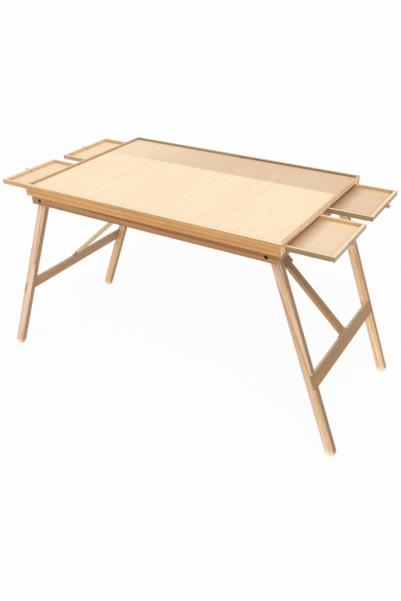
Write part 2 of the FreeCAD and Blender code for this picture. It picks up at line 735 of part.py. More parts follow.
# Pivot hardware: bolts through the long apron boards, washers or sleeves beside the legs, and nuts inside.
bolts, nuts, washers, sleeves = [], [], [], []
for side in ("right", "left"):
    face = outer_face[side]
    leg_inside = face - cell("leg_thickness")
    head_face = apron_face - cell("bore_depth") + cell("bolt_head_height")
    bolt_end = leg_inside - cell("face_gap") - cell("nut_height")
    bolt_length = head_face - bolt_end
    bolt_profile = [
        (0, 0),
        (cell("bolt_head_radius"), 0),
        (cell("bolt_head_radius"), cell("bolt_head_height")),
        (cell("bolt_radius"), cell("bolt_head_height")),
        (cell("bolt_radius"), bolt_length),
        (0, bolt_length),
    ]
    spacer = apron_inside - face - cell("face_gap")
    for turn in (False, True):
        x = pivot_x if (side == "right") != turn else -pivot_x
        bolt = turned(f"{side}_pivot_bolt", bolt_profile, is_node=False)
        bolts.append(place(bolt, (x, head_face, pivot_z), INTO_BACK, turn))
        nut_bore = cell("bolt_radius") + cell("stay_fit")
        nut_size = (nut_bore, cell("nut_radius"), cell("nut_height"))
        nut = hollow_turned(f"{side}_pivot_nut", *nut_size, is_node=False)
        nuts.append(place(nut, (x, leg_inside - cell("face_gap"), pivot_z), INTO_BACK, turn))
        ring_bore = cell("bolt_radius") + cell("running_fit")
        ring_size = (ring_bore, ring_bore + cell("sleeve_wall"), spacer)
        ring = hollow_turned(f"{side}_spacer", *ring_size, is_node=False)
        rings = sleeves if side == "right" else washers
        rings.append(place(ring, (x, apron_inside, pivot_z), INTO_BACK, turn))
group("pivot_bolts", bolts)
group("pivot_nuts", nuts)
group("left_pivot_washers", washers)
group("right_pivot_sleeves", sleeves)

doc.recompute()
for item in doc.Objects:
    if "Invalid" in item.State or "Error" in item.State:
        raise ValueError(f"{item.Label} did not build: {item.State}")
for node in nodes:
    if node.Shape.isNull() or not node.Shape.isValid():
        raise ValueError(f"{node.Label} has no valid solid")

os.makedirs("parts", exist_ok=True)
for node in nodes:
    node.Shape.exportStep(f"parts/{node.Label}.step")
print(f"{len(nodes)} nodes")
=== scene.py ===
# %% [markdown]
# # A folding jigsaw table in lacquered pine
# The table is a shallow tray on two splayed leg frames, with a shallow drawer at each corner.
# The solids of the table are already made at their real size, so they come in as a fixed frame and are
# never moved. This lesson gives every board its wood, swaps the plain turned pieces for finer ones, and
# lights the whole.

# %% Load the frame
import json
import math

import bpy
import numpy as np
from mathutils import Matrix, Quaternion, Vector


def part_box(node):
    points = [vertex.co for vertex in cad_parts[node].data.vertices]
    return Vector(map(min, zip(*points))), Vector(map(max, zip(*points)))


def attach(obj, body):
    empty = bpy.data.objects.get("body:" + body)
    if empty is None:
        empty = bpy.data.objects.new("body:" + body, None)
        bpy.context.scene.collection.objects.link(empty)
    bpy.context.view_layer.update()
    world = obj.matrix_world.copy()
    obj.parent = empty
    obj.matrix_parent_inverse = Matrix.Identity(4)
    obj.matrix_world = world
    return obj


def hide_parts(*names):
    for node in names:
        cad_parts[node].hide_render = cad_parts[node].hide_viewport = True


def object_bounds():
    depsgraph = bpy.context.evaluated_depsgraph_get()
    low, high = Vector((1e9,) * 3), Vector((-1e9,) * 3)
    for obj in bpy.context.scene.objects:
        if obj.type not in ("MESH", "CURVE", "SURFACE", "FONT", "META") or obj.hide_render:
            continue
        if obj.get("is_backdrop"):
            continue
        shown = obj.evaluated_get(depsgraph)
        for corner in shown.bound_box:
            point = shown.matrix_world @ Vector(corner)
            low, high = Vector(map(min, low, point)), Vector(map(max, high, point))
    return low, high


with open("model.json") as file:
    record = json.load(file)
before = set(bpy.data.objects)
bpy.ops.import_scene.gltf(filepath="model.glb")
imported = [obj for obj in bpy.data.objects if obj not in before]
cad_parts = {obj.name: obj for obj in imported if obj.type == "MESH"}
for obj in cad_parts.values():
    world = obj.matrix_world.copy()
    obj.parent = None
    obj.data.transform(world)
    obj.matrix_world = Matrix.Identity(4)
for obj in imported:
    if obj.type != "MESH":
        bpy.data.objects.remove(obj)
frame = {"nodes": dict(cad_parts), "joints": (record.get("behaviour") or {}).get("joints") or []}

MM = 0.001
cad_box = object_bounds()
nodes = frame["nodes"]
joints = {joint["name"]: joint for joint in frame["joints"]}
print("solids:", len(nodes), "joints:", len(joints))

# %% [markdown]
# ## Helpers for materials
# A material is a small graph of nodes. One helper adds a node with its settings, its constants and its
# links, so that each finish below reads as a list of what it is made of. Another turns a colour as a painter
# would write it, in sRGB hex, into the linear values that the shader works with.

# %% Material helpers
# Settings of a mixing node that multiplies two colours, or that goes from one to the other.
MULTIPLIED = {"data_type": "RGBA", "blend_type": "MULTIPLY"}
# Going from one colour towards a tone gives painted light on the tops of boards, and wear on the feet.
PAINTED_LIGHT_AND_WEAR = {"data_type": "RGBA", "blend_type": "MIX"}


def add(tree, kind, links=None, values=None, stops=(), **settings):
    """Adds one node: settings are its properties, values its constant sockets, links its linked sockets.

    Stops are for a colour ramp: pairs of a place from 0 to 1 and a linear colour.
    """
    node = tree.nodes.new(kind)
    for name, value in settings.items():
        setattr(node, name, value)
    for socket, value in (values or {}).items():
        node.inputs[socket].default_value = value
    for socket, source in (links or {}).items():
        tree.links.new(source, node.inputs[socket])
    if stops:
        elements = node.color_ramp.elements
        while len(elements) < len(stops):
            elements.new(0.5)
        for element, (place, colour) in zip(elements, stops):
            element.position = place
            element.color = colour
    return node


def linear(text):
    """The linear RGBA of an sRGB hex colour: a straight toe, then the 2.4 power curve."""
    srgb = np.array([int(text[start:start + 2], 16) for start in (1, 3, 5)]) / 255
    toe = srgb / 12.92
    curve = ((srgb + 0.055) / 1.055) ** 2.4
    return (*np.where(srgb <= 0.04045, toe, curve).tolist(), 1.0)


def new_material(name):
    """An empty material and its node tree."""
    material = bpy.data.materials.new(name)
    material.use_nodes = True
    material.node_tree.nodes.clear()
    return material, material.node_tree


print("red of #c99a60 in linear light:", round(linear("#c99a60")[0], 3))

# %% [markdown]
# ## Tones on some faces
# Most of these tones are painted shade and painted light: faces that look one way are made deeper, and tops
# paler, as the light would leave them. Tones by place give the worn feet and more painted shade. Such a tone
# is chosen by the surface normal, or by the place on the board, in the board's own space, so it stays on the
# board when the board moves. Painting vertices would need a finer mesh, and a second material would leave a
# hard line.

# %% Tones
def toned(tree, colour, where, tone):
    """Multiplies a colour by a tone where the size of one coordinate, a normal's or a place's, nears an end.

    A tone is (output of the coordinate node, axis, where it starts, where it is full, sRGB hex). With a sixth
    value the colour goes that far towards the tone instead, and the grain fades with it.
    """
    output, axis, start, full, text, *light_and_wear = tone
    split = add(tree, "ShaderNodeSeparateXYZ", {"Vector": where.outputs[output]})
    size = add(tree, "ShaderNodeMath", {0: split.outputs[axis]}, operation="ABSOLUTE")
    reach = add(
        tree, "ShaderNodeMapRange", {"Value": size.outputs[0]},
        {"From Min": start, "From Max": full, "To Max": light_and_wear[0] if light_and_wear else 1.0},
        interpolation_type="SMOOTHSTEP",
    )
    mixed = add(
        tree, "ShaderNodeMix", {"A": colour, "Factor": reach.outputs["Result"]}, {"B": linear(text)},
        **(PAINTED_LIGHT_AND_WEAR if light_and_wear else MULTIPLIED),
    )
    return mixed.outputs["Result"]


# Faces that look to the front or the back, all the others, those that look to an end of the table, and those
# that look up or down. Each has the size of its normal where a tone starts and where it is full.
SIDE_FACES = ("Normal", "Y", 0.4, 0.8)
OTHER_FACES = ("Normal", "Y", 0.8, 0.4)
BROAD_FACES = ("Normal", "X", 0.5, 0.8)
UPPER_FACES = ("Normal", "Z", 0.5, 0.9)
full_within = math.degrees(math.acos(SIDE_FACES[-1]))
print("a side face has its full tone within", round(full_within), "degrees of straight on")

# %% [markdown]
# ## Pine
# A pine board is a straight cut through a stack of cones, the yearly rings of the trunk. So the rings are
# drawn in space, as cylinders about a pith line beside the board's middle, and the board simply cuts through
# them: its long faces show lines and long arches, and its ends show arcs, with no seam at the edges. Within a
# ring the pale early wood reddens slowly to the late wood and then breaks off, so the wave is a saw tooth.
# Fine fibres run along the board, broad bands shift its tone, and a thin clear lacquer lies on top. The
# alternative, a flat picture on each face, would not meet at the edges.

# %% Pine
RING_WIDTH = 4.2 * MM
# Real fibres are a few hundredths of a millimetre wide, too fine to show, so they are drawn as small bundles.
FIBRE_WIDTH = 0.9 * MM
BAND_WIDTH = 16 * MM
# A ring wave in Blender repeats every 2 pi / 20 of its scaled coordinate, and a noise about every 1.
WAVE_PERIOD = 2 * math.pi / 20
# Figure along the board is this much longer than across it.
STRETCH = 26
# The pith leans against the board by up to this angle, which is what lets the arches close.
LEAN = math.radians(0.6)
# The pith lies this far from the middle of the board.
PITH_NEAR, PITH_FAR = 30 * MM, 75 * MM
# How the colour of the early wood changes over one ring, as shares of red, green and blue.
RING_SHARES = (
    (0.0, (1, 1, 1)), (0.5, (0.97, 0.94, 0.90)), (0.82, (0.87, 0.78, 0.67)), (0.95, (0.80, 0.68, 0.55)),
    (1.0, (1, 1, 1)),
)
# How strongly the fibres and the bands show, from 0 to 1.
FIGURE = 0.8
chance = np.random.default_rng(20)


def pith_line(along):
    """A turn that lays the grain along X, leaning a little, and the pith's place beside the board."""
    turn = Vector(along).rotation_difference(Vector((1, 0, 0))).to_matrix()
    lean_y = Matrix.Rotation(chance.uniform(-LEAN, LEAN), 3, "Y")
    lean_z = Matrix.Rotation(chance.uniform(-LEAN, LEAN), 3, "Z")
    angle = chance.uniform(0, 2 * math.pi)
    reach = chance.uniform(PITH_NEAR, PITH_FAR)
    pith = Vector((chance.uniform(0, 1), reach * math.cos(angle), reach * math.sin(angle)))
    return lean_y @ lean_z @ turn, pith


def pine(name, centre, along, tone, face_tones=(), ring=RING_WIDTH, depth=1.0):
    """Pine cut along a direction: the distance from a leaning pith line, saw-toothed, and stretched fibres.

    Depth is how far the late wood departs from the early wood's tone.
    """
    material, tree = new_material(name)
    turn, pith = pith_line(along)
    where = add(tree, "ShaderNodeTexCoord")
    board = add(
        tree, "ShaderNodeMapping", {"Vector": where.outputs["Object"]},
        {"Location": pith - turn @ Vector(centre), "Rotation": turn.to_euler()},
    )
    drawn_out = add(
        tree, "ShaderNodeMapping", {"Vector": board.outputs["Vector"]}, {"Scale": (1 / STRETCH, 1, 1)},
    ).outputs["Vector"]
    rings = add(
        tree, "ShaderNodeTexWave", {"Vector": drawn_out},
        {
            "Scale": WAVE_PERIOD / ring, "Distortion": 2.0,
            "Detail": 2.0, "Detail Scale": 0.6, "Detail Roughness": 0.55,
        },
        wave_type="RINGS", rings_direction="X", wave_profile="SAW",
    )
    fibres = add(
        tree, "ShaderNodeTexNoise", {"Vector": drawn_out},
        {"Scale": 1 / FIBRE_WIDTH, "Detail": 4.0, "Roughness": 0.6},
    ).outputs["Fac"]
    bands = add(
        tree, "ShaderNodeTexNoise", {"Vector": drawn_out}, {"Scale": 1 / BAND_WIDTH, "Detail": 2.0},
    ).outputs["Fac"]
    early = np.array(linear(tone))
    deepened = [(place, 1 - depth * (1 - np.array(share))) for place, share in RING_SHARES]
    stops = [(place, early * np.array((*share, 1))) for place, share in deepened]
    colour = add(tree, "ShaderNodeValToRGB", {"Fac": rings.outputs["Fac"]}, stops=stops).outputs["Color"]
    for source, low, high, shade in ((fibres, 0.3, 0.55, "#d2cbc4"), (bands, 0.32, 0.62, "#e4d6c9")):
        stops = [(low, linear(shade)), (high, linear("#ffffff"))]
        figure = add(tree, "ShaderNodeValToRGB", {"Fac": source}, stops=stops).outputs["Color"]
        mixed = add(tree, "ShaderNodeMix", {"A": colour, "B": figure}, {"Factor": FIGURE}, **MULTIPLIED)
        colour = mixed.outputs["Result"]
    for face_tone in face_tones:
        colour = toned(tree, colour, where, face_tone)
    rise = add(tree, "ShaderNodeBump", {"Height": fibres}, {"Strength": 0.35, "Distance": 0.08 * MM})
    wood = add(
        tree, "ShaderNodeBsdfPrincipled", {"Base Color": colour, "Normal": rise.outputs["Normal"]},
        {"Roughness": 0.46, "IOR": 1.5, "Coat Weight": 0.12, "Coat Roughness": 0.3},
    )
    add(tree, "ShaderNodeOutputMaterial", {"Surface": wood.outputs["BSDF"]})
    return material


print("rings in a 20 mm board:", round(20 * MM / RING_WIDTH, 1))

# %% [markdown]
# ## The tones of the boards
# Two boards never match, so each gets a material of its own, named after it, with its own rings and its own
# tone: the rim is warm, the apron and the stretchers are browner, and the legs are pale and pinkish. Over
# that lies painted shade and painted light: the front rail's faces are deeper and its top paler, the back
# rail is greyer with darker faces, and the left end rail, the stretchers' faces, the right stay's edges, the
# legs' edges and the drawers' sides are darker, the drawers under paler tops. The feet and the drawer
# fronts have tones that follow a place instead of a face: the feet are worn, and the outer face of each
# drawer front has painted shade. One shared material would be quicker, but then all the boards would look
# sawn from one plank.

# %% Board tones
# The front rail's faces that look to the front or back get painted shade, and its top painted light.
RIM_TONE, RIM_SIDE_SHADE, RIM_TOP_LIGHT = "#ffe6c0", (*SIDE_FACES, "#d2b488"), (*UPPER_FACES, "#ffe6c0", 0.75)
# The back rail is greyer, and its faces that look to the front or back darker: painted shade.
BACK_RIM_SHADED_TONE, BACK_RIM_SIDE_SHADE = "#d2bd94", (*SIDE_FACES, "#c1b283")
# The left end rail's faces that look to the ends of the table get painted shade.
END_RIM_TONE, END_RIM_SHADE = "#f8d6ab", {"left": [(*BROAD_FACES, "#dad6c7")], "right": []}
APRON_TONE = "#ad8152"
# The stretchers' broad and side faces get painted shade, which leaves their top edges paler.
STRETCHER_TONE, STRETCHER_SHADE = "#ecd6b0", {"left": "#d8b795", "right": "#b89d74"}
STAY_TONES = {"left": "#f0d8b0", "right": "#c49a66"}
# The right stay's faces that don't look to the front or back get painted shade.
STAY_EDGE_SHADE = {"left": [], "right": [(*OTHER_FACES, "#d8d4b5")]}
LEG_TONES = {
    "left_front": "#e9cab0", "left_back": "#efc89f", "right_front": "#dfc2a3", "right_back": "#f8d9b4",
}
# The legs' faces that don't look to the front or back get painted shade.
LEG_EDGE_SHADE = {"left": (*OTHER_FACES, "#c8c1ad"), "right": (*OTHER_FACES, "#b0a997")}
# The feet are paler and greyer over the last 20 mm, as lacquer leaves them where it wears off.
FOOT_WEAR = ("Object", "Z", 24 * MM, 4 * MM, "#efe4d6", 0.6)
# The drawers' faces that look to the front or back get painted shade, darker on the right, and their tops
# painted light.
DRAWER_TONE, DRAWER_SIDE_SHADE = "#f6ddb9", (*SIDE_FACES, "#d2c7ac")
DRAWER_TOP_LIGHT = (*UPPER_FACES, "#fbe3c0", 0.7)
# Painted shade with a cool grey cast on the outer face of each drawer front.
# The outer face of a drawer front is the only part of it that lies this far from the table's middle.
DRAWER_FRONT_SHADE = ("Object", "X", 560 * MM, 561 * MM, "#bac0c6")
DRAWER_END_SHADE = {"left": DRAWER_SIDE_SHADE, "right": (*SIDE_FACES, "#9f9880")}
print("leg tones:", LEG_TONES)

# %% [markdown]
# ## The boards
# The grain runs along each board. The legs and the stays lean, so their directions are taken from joint to
# joint. A table of the boards, with direction, tone and face tones, keeps the choice of wood in one place.

# %% Boards
ALONG_X, ALONG_Y = (1, 0, 0), (0, 1, 0)


def line_between(first, second):
    """The direction from one joint to another."""
    return (Vector(joints[second]["pos_m"]) - Vector(joints[first]["pos_m"])).normalized()


boards = {
    "front_rail": (ALONG_X, RIM_TONE, [RIM_SIDE_SHADE, RIM_TOP_LIGHT]),
    "back_rail": (ALONG_X, BACK_RIM_SHADED_TONE, [BACK_RIM_SIDE_SHADE]),
    "centre_divider": (ALONG_X, APRON_TONE, []),
    "cross_dividers": (ALONG_Y, APRON_TONE, []),
}
for edge in ("front", "back"):
    boards[f"{edge}_apron"] = (ALONG_X, APRON_TONE, [])
    boards[f"{edge}_runner"] = (ALONG_X, END_RIM_TONE, [])
for side in ("left", "right"):
    leg_line = line_between(f"{side}_leg_fold", f"{side}_stay_foot")
    stay_line = line_between(f"{side}_stay_top", f"{side}_stay_foot")
    stretcher_shade = [(*faces, STRETCHER_SHADE[side]) for faces in (BROAD_FACES, SIDE_FACES)]
    boards[f"{side}_end_rail"] = (ALONG_Y, END_RIM_TONE, END_RIM_SHADE[side])
    boards[f"{side}_apron"] = (ALONG_Y, APRON_TONE, [])
    boards[f"{side}_stretcher"] = (ALONG_Y, STRETCHER_TONE, stretcher_shade)
    boards[f"{side}_stay_anchor"] = (ALONG_X, APRON_TONE, [])
    boards[f"{side}_lower_slat"] = (stay_line, STAY_TONES[side], STAY_EDGE_SHADE[side])
    boards[f"{side}_upper_slats"] = (stay_line, STAY_TONES[side], STAY_EDGE_SHADE[side])
    for edge in ("front", "back"):
        drawer = f"{side}_{edge}_drawer"
        boards[f"{side}_{edge}_leg"] = (leg_line, LEG_TONES[f"{side}_{edge}"], [LEG_EDGE_SHADE[side], FOOT_WEAR])
        boards[f"{drawer}_front"] = (ALONG_Y, DRAWER_TONE, [DRAWER_FRONT_SHADE, DRAWER_END_SHADE[side], DRAWER_TOP_LIGHT])
        boards[f"{drawer}_back"] = (ALONG_Y, DRAWER_TONE, [])
        boards[f"{drawer}_sides"] = (ALONG_X, DRAWER_TONE, [DRAWER_SIDE_SHADE, DRAWER_TOP_LIGHT])
print("boards of pine:", len(boards))

# %% [markdown]
# ## Dressing the boards
# A solid keeps its mesh. Only its material slot is filled, so the board stays exactly the size it was cut.
# The two right-hand drawers get painted shade, an olive-brown tone, on the outer face of the side board
# nearest the front.

# %% Dress the boards
# Painted shade on the front-facing side board of the right-hand drawers.
FRONT_WALL_SHADE = "#c1c4c0"
# The painted shade fades out within this depth of its face.
SKIN = 1.0 * MM
# The boards whose broad faces show most are cut from fast-grown wood, with wide rings and deep late wood.
# Each has its ring width and that depth.
BROAD_RINGS = {f"{board}_rail": (9 * MM, 1.4) for board in ("front", "back", "left_end", "right_end")}
BROAD_RINGS |= {f"{leg}_leg": (7 * MM, 1.4) for leg in LEG_TONES}
BROAD_RINGS["front_apron"] = (6 * MM, 1.9)


def dress(name, material):
    """Gives one solid its material in place of the plain one."""
    mesh = nodes[name].data
    mesh.materials.clear()
    mesh.materials.append(material)


def middle(name):
    """The middle of a solid's box."""
    low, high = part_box(name)
    return (low + high) / 2


for edge, inward in (("front", -SKIN), ("back", SKIN)):
    sides = f"right_{edge}_drawer_sides"
    front_face = abs(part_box(sides)[0].y)
    boards[sides][2].append(("Object", "Y", front_face + inward, front_face, FRONT_WALL_SHADE))
woods = {}
for name, (along, tone, face_tones) in boards.items():
    ring, depth = BROAD_RINGS.get(name, (RING_WIDTH, 1.0))
    woods[name] = pine(f"lacquered_pine_{name}", middle(name), along, tone, face_tones, ring, depth)
    dress(name, woods[name])
print("boards dressed:", len(woods))

# %% [markdown]
# ## Rim corners
# The rim runs round the tray without a break: at each corner a tongue of the end board laps over the long
# board's ledge. The solids stop short of that, so the tongues are made here. A tongue is a section with eased
# edges that is carried straight across the ledge. A scaled cube would be quicker, but its sharp edges would
# catch no light beside the eased ones of the boards.

# %% Rim section
EASED = 0.8 * MM


def eased_section(low, high, steps=5):
    """Points round a rectangle: a quarter circle about each corner's centre, one after the other."""
    centres = np.array([(high[0], high[1]), (low[0], high[1]), (low[0], low[1]), (high[0], low[1])])
    centres = centres + np.array([(-1, -1), (1, -1), (1, 1), (-1, 1)]) * EASED
    turn = np.linspace(0, np.pi / 2, steps) + np.arange(4)[:, None] * np.pi / 2
    spokes = np.stack([np.cos(turn), np.sin(turn)], axis=-1) * EASED
    return (centres[:, None, :] + spokes).reshape(-1, 2)


def carried_along_y(section, start, end):
    """Points and faces of a section in X and Z, carried from one Y to another and closed at both ends."""
    count = len(section)
    ys = np.repeat([start, end], count)
    points = np.column_stack([np.tile(section[:, 0], 2), ys, np.tile(section[:, 1], 2)])
    here = np.arange(count)
    after = (here + 1) % count
    sides = np.stack([here, here + count, after + count, after], axis=-1).tolist()
    return points, sides + [here.tolist(), (here[::-1] + count).tolist()]


print("points round a section:", len(eased_section((0, 0), (1, 1))))

# %% [markdown]
# ## Fitting the rim tongues
# Each tongue reaches from the end board's end to the inside of the long board's rim, and from the ledge to
# the top of the rim. It takes the end board's own wood, so that the grain, which is drawn in space, runs on
# through it. A piece that is made here rides on the body that carries it, and takes the finish given to it.

# %% Rim tongues
RIM_WIDTH, END_RIM_WIDTH = 9 * MM, 7 * MM


def new_piece(name, points, faces, body, material, smooth):
    """A mesh piece at the origin that rides on a body, shaded smooth up to an angle in degrees."""
    mesh = bpy.data.meshes.new(name)
    mesh.from_pydata(points.tolist(), [], faces)
    mesh.materials.append(material)
    mesh.shade_smooth()
    mesh.set_sharp_from_angle(angle=math.radians(smooth))
    piece = bpy.data.objects.new(name, mesh)
    bpy.context.scene.collection.objects.link(piece)
    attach(piece, body)
    return piece


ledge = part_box("play_panel")[0].z
rim_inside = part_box("back_rail")[1].y - RIM_WIDTH
for side in ("left", "right"):
    low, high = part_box(f"{side}_end_rail")
    outer_x = (high.x - END_RIM_WIDTH, high.x) if side == "right" else (low.x, low.x + END_RIM_WIDTH)
    section = eased_section((outer_x[0], ledge), (outer_x[1], high.z))
    for edge, (start, end) in (("front", (-rim_inside, low.y)), ("back", (high.y, rim_inside))):
        points, faces = carried_along_y(section, start, end)
        wood = woods[f"{side}_end_rail"]
        new_piece(f"{side}_{edge}_rim_tongue", points, faces, "table_top", wood, smooth=30)
print("rim tongues: 4, each", round((rim_inside - high.y) / MM, 1), "mm long")

# %% [markdown]
# ## Birch plywood
# The play panel and the drawer bottoms are thin birch plywood. Its face is peeled from the log, so it has no
# arcs, only soft drawn-out clouds and hair-fine lines along the grain. Noise that is stretched along the
# grain gives both, at two widths, where rings such as the pine's would show arches that peeled wood has not.
# A part of a sheet can be given another tone; here that is painted shade.

# %% Birch plywood
CLOUD_WIDTH = 14 * MM
# Real pores are about 0.1 mm wide, too fine to show, so the hair lines are drawn coarser.
HAIR_WIDTH = 2.2 * MM
VENEER_STRETCH = 25
HAIR_SHARE = 0.75


def birch(name, along, pale, deep, line):
    """Peeled birch veneer: clouds and hair lines, both drawn out along the grain.

    Also returns the face colour and the socket that takes it, for a patch of another tone.
    """
    material, tree = new_material(name)
    where = add(tree, "ShaderNodeTexCoord")
    turn = Vector(along).rotation_difference(Vector((1, 0, 0))).to_euler()
    board = add(tree, "ShaderNodeMapping", {"Vector": where.outputs["Object"]}, {"Rotation": turn})
    drawn_out = add(
        tree, "ShaderNodeMapping", {"Vector": board.outputs["Vector"]}, {"Scale": (1 / VENEER_STRETCH, 1, 1)},
    ).outputs["Vector"]
    clouds = add(
        tree, "ShaderNodeTexNoise", {"Vector": drawn_out},
        {"Scale": 1 / CLOUD_WIDTH, "Detail": 3.0, "Distortion": 0.6},
    )
    hairs = add(
        tree, "ShaderNodeTexNoise", {"Vector": drawn_out},
        {"Scale": 1 / HAIR_WIDTH, "Detail": 3.0, "Roughness": 0.7},
    ).outputs["Fac"]
    cloud_stops = [(0.3, linear(deep)), (0.62, linear(pale))]
    hair_stops = [(0.28, linear(line)), (0.46, linear("#ffffff"))]
    cloud_colour = add(tree, "ShaderNodeValToRGB", {"Fac": clouds.outputs["Fac"]}, stops=cloud_stops)
    hair_shade = add(tree, "ShaderNodeValToRGB", {"Fac": hairs}, stops=hair_stops)
    face = add(
        tree, "ShaderNodeMix", {"A": cloud_colour.outputs["Color"], "B": hair_shade.outputs["Color"]},
        {"Factor": HAIR_SHARE}, **MULTIPLIED,
    ).outputs["Result"]
    rise = add(tree, "ShaderNodeBump", {"Height": hairs}, {"Strength": 0.2, "Distance": 0.05 * MM})
    wood = add(
        tree, "ShaderNodeBsdfPrincipled", {"Base Color": face, "Normal": rise.outputs["Normal"]},
        {"Roughness": 0.62, "IOR": 1.5, "Specular IOR Level": 0.3},
    )
    add(tree, "ShaderNodeOutputMaterial", {"Surface": wood.outputs["BSDF"]})
    return material, face, wood.inputs["Base Color"]


def tone_patch(sheet, tone, shares):
    """Multiplies part of a sheet's colour by a tone, with a strength that is the product of shares.

    A share is a smooth rise along one coordinate: (output of the coordinate node, axis, where it starts,
    where it is full, share at the start).
    """
    material, face, base = sheet
    tree = material.node_tree
    where = add(tree, "ShaderNodeTexCoord")
    strength = None
    for output, axis, start, full, least in shares:
        split = add(tree, "ShaderNodeSeparateXYZ", {"Vector": where.outputs[output]})
        share = add(
            tree, "ShaderNodeMapRange", {"Value": split.outputs[axis]},
            {"From Min": start, "From Max": full, "To Min": least}, interpolation_type="SMOOTHSTEP",
        ).outputs["Result"]
        if strength is not None:
            share = add(tree, "ShaderNodeMath", {0: strength, 1: share}, operation="MULTIPLY").outputs[0]
        strength = share
    mixed = add(tree, "ShaderNodeMix", {"A": face, "Factor": strength}, {"B": linear(tone)}, **MULTIPLIED)
    tree.links.new(mixed.outputs["Result"], base)


print("clouds in mm:", round(CLOUD_WIDTH / MM), "wide,", round(CLOUD_WIDTH * VENEER_STRETCH / MM), "long")

# %% [markdown]
# ## Panel, bottoms and hardboard
# On the play panel the grain runs the short way. Beyond a soft line parallel to the long side, the back of
# the panel is pinker and deeper, as painted shade, most of all towards the right. Where the bottoms of the
# right drawers slide under the tray, their faces are browned towards the inner end: painted shadow of the
# end rails. Both are patches of tone on one sheet, because cutting the solid in two would change its shape.
# The table's own bottom is hardboard, pressed from brown fibre, which reads as a fine, flat speckle.

# %% Dress the sheets
# Where the painted shade on the back of the panel begins, and how soft its edge is.
SHADE_LINE, SHADE_LINE_BLUR = 118 * MM, 5 * MM
# The painted shade on the panel deepens from left to right between these places, from this share of its tone.
DEEPENS_FROM, DEEPENS_TO, DEEPENS_SHARE = -400 * MM, -50 * MM, 0.3
# The painted shadow on a drawer bottom fades out between these distances from the table's middle.
SHADOW_ENDS, SHADOW_FULL = 475 * MM, 430 * MM
GRIT = 1.6 * MM


def hardboard(name):
    """Pressed brown fibre: speckle of several sizes, from one grit down, over three tones."""
    material, tree = new_material(name)
    where = add(tree, "ShaderNodeTexCoord")
    grit = add(
        tree, "ShaderNodeTexNoise", {"Vector": where.outputs["Object"]},
        {"Scale": 1 / GRIT, "Detail": 5.0, "Roughness": 0.75},
    ).outputs["Fac"]
    tones = [(0.3, linear("#8f7050")), (0.5, linear("#ab8a66")), (0.7, linear("#bd9c78"))]
    face = add(tree, "ShaderNodeValToRGB", {"Fac": grit}, stops=tones)
    rise = add(tree, "ShaderNodeBump", {"Height": grit}, {"Strength": 0.25, "Distance": 0.1 * MM})
    board = add(
        tree, "ShaderNodeBsdfPrincipled",
        {"Base Color": face.outputs["Color"], "Normal": rise.outputs["Normal"]},
        {"Roughness": 0.6, "IOR": 1.5},
    )
    add(tree, "ShaderNodeOutputMaterial", {"Surface": board.outputs["BSDF"]})
    return material


panel = birch("birch_ply_play_panel", ALONG_Y, "#fbe8c8", "#f8e1bd", "#efddc0")
# Painted shade on the back of the panel.
tone_patch(panel, "#e9dddb", [
    ("Object", "Y", SHADE_LINE - SHADE_LINE_BLUR, SHADE_LINE + SHADE_LINE_BLUR, 0.0),
    ("Object", "X", DEEPENS_FROM, DEEPENS_TO, DEEPENS_SHARE),
])
dress("play_panel", panel[0])
dress("bottom_panel", hardboard("pressed_hardboard"))
bottom_tones = {
    "left_front_drawer": ("#f8e0c0", "#f3d9b8"),
    "left_back_drawer": ("#f8e0c0", "#f3d9b8"),
    "right_front_drawer": ("#f5ddbc", "#f0d5b2"),
    "right_back_drawer": ("#ecd0b0", "#e4c4a2"),
}
for drawer, (pale, deep) in bottom_tones.items():
    bottom = birch(f"birch_ply_{drawer}", ALONG_X, pale, deep, "#e6d2b4")
    if drawer.startswith("right"):
        # Painted shadow of the end rail on the inner part of each right drawer bottom.
        shadowed = [("Object", "X", SHADOW_ENDS, SHADOW_FULL, 0.0), ("Normal", "Z", 0.0, 0.6, 0.0)]
        tone_patch(bottom, "#ccc0ac", shadowed)
    dress(f"{drawer}_bottom", bottom[0])
drawers = list(bottom_tones)
print("sheets:", 2 + len(drawers))

# %% [markdown]
# ## Turned and forged pieces
# Knobs, bolts, nuts and screws are all made by turning, and some then get a hexagon or a cross cut into them.
# So each is one grid of points: rings along the axis, each ring with its own height and a radius that may
# change round the turn, a constant for a round ring and the distance to the flats for a hexagon or a cross.
# A lathe of rings like this keeps the edges crisp where a ready-made cylinder would have none.

# %% Ring outlines
TURN_STEPS = 48
turn_angles = np.arange(TURN_STEPS) * 2 * np.pi / TURN_STEPS
# Keeps the bars of a cross from dividing by zero where they run straight out.
NEARLY_ZERO = 1e-9


def round_ring(radius):
    """The same distance all round."""
    return np.full(TURN_STEPS, radius)


def hexagon_ring(inner):
    """Distance to a hexagon's flats: the inner radius over the cosine of the angle from the nearest flat."""
    sixth = np.pi / 3
    return inner / np.cos((turn_angles + sixth / 2) % sixth - sixth / 2)


def cross_ring(arm, half):
    """Distance to the edge of a cross: the farther of its two bars, each a rectangle of arm by half width."""
    across = np.abs(np.cos(turn_angles)) + NEARLY_ZERO
    upward = np.abs(np.sin(turn_angles)) + NEARLY_ZERO
    flat_bar = np.minimum(arm / across, half / upward)
    tall_bar = np.minimum(arm / upward, half / across)
    return np.maximum(flat_bar, tall_bar)


print("corner of a hexagon over its flat:", round(hexagon_ring(1.0).max(), 3))

# %% [markdown]
# ## From rings to a mesh
# Rings that lie one above the other are joined by quads, and the two ends are closed by one flat face each. A
# nut has a hole, so its rings run round its section instead, and the last joins the first. One piece may hold
# several such stacks, because the four bolts or six screws of a set are one part in the frame as well.

